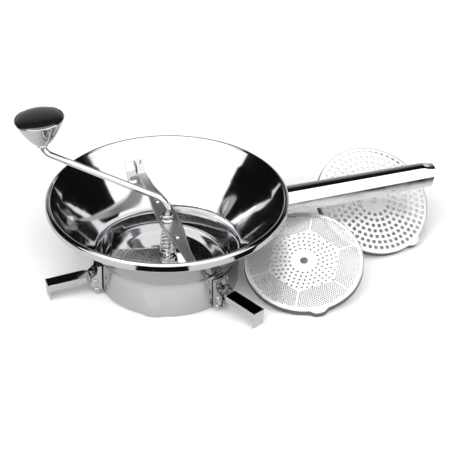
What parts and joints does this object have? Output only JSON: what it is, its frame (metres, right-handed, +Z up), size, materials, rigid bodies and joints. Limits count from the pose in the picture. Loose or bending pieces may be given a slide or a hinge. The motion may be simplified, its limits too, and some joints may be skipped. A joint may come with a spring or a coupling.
{
  "type": "rotary food mill",
  "caption": "Rotary food mill: flared steel bowl with long handle, fold-out pot legs, spring-loaded crank and blade over a perforated disc, and two spare discs.",
  "frame": {"origin": "on the bowl's axis, in the plane of the ring that the mill stands on", "axes": "+Z up along the bowl's axis, +X along the handle"},
  "size_m": [0.4099, 0.2407, 0.1547],
  "materials": {
    "polished_steel": "mirror polished",
    "spring_steel": "bright drawn wire",
    "black_plastic": "high gloss"
  },
  "bodies": {
    "base": {"bowl": "polished_steel", "seat_ring": "polished_steel", "disc_medium": "polished_steel", "handle": "polished_steel", "handle_brace": "polished_steel", "crossbar_catch_rear": "polished_steel", "crossbar_catch_front": "polished_steel", "leg_bracket_1": "polished_steel", "leg_pivot_pin_1": "polished_steel", "leg_stop_pin_1": "polished_steel", "leg_bracket_2": "polished_steel", "leg_pivot_pin_2": "polished_steel", "leg_stop_pin_2": "polished_steel", "leg_bracket_3": "polished_steel", "leg_pivot_pin_3": "polished_steel", "leg_stop_pin_3": "polished_steel"},
    "crossbar": {"crossbar": "polished_steel", "crossbar_bush": "polished_steel", "crossbar_doubler": "polished_steel", "crossbar_rivet_front": "polished_steel", "crossbar_rivet_rear": "polished_steel", "spring_washer": "polished_steel", "shaft_spring": "spring_steel"},
    "thrust": {"thrust_washer": "polished_steel"},
    "crank": {"crank_rod": "polished_steel", "knob_ferrule": "polished_steel", "blade_hub": "polished_steel", "mill_blade": "polished_steel"},
    "knob": {"knob_shell": "polished_steel", "knob_cap": "black_plastic"},
    "leg_1": {"leg_1": "polished_steel"},
    "leg_2": {"leg_2": "polished_steel"},
    "leg_3": {"leg_3": "polished_steel"},
    "spare_fine": {"disc_fine_spare": "polished_steel"},
    "spare_coarse": {"disc_coarse_spare": "polished_steel"}
  },
  "joints": [
    {"name": "crossbar_lock", "type": "hinge", "parent": "base", "child": "crossbar", "pos_m": [0, 0, 0.0693], "axis": [0, 0, -1], "range_deg": [0, 18]},
    {"name": "blade_lift", "type": "slide", "parent": "crossbar", "child": "thrust", "axis": [0, 0, 1], "range_m": [0, 0.006], "stiffness_N_per_m": 500, "springref_m": -0.02, "deforming": ["shaft_spring"]},
    {"name": "crank_spin", "type": "hinge", "parent": "thrust", "child": "crank", "pos_m": [0, 0, 0.03], "axis": [0, 0, 1], "continuous": true},
    {"name": "knob_spin", "type": "hinge", "parent": "crank", "child": "knob", "pos_m": [-0.1002, 0.09343, 0.112], "axis": [-0.0637, 0.0594, 0.9962], "continuous": true},
    {"name": "leg_fold_1", "type": "hinge", "parent": "base", "child": "leg_1", "pos_m": [0.04023, 0.06565, 0.016], "axis": [0.8526, -0.5225, 0], "range_deg": [0, 65]},
    {"name": "leg_fold_2", "type": "hinge", "parent": "base", "child": "leg_2", "pos_m": [-0.07697, 0.00202, 0.016], "axis": [0.0262, 0.9997, 0], "range_deg": [0, 65]},
    {"name": "leg_fold_3", "type": "hinge", "parent": "base", "child": "leg_3", "pos_m": [0.03674, -0.06767, 0.016], "axis": [-0.8788, -0.4772, 0], "range_deg": [0, 65]},
    {"name": "spare_fine_lift_off", "type": "slide", "parent": "base", "child": "spare_fine", "axis": [0.5, -0.866, 0], "range_m": [0, 0.16]},
    {"name": "spare_coarse_lift_off", "type": "slide", "parent": "base", "child": "spare_coarse", "axis": [0.3, 0.9539, 0], "range_m": [0, 0.16]}
  ]
}
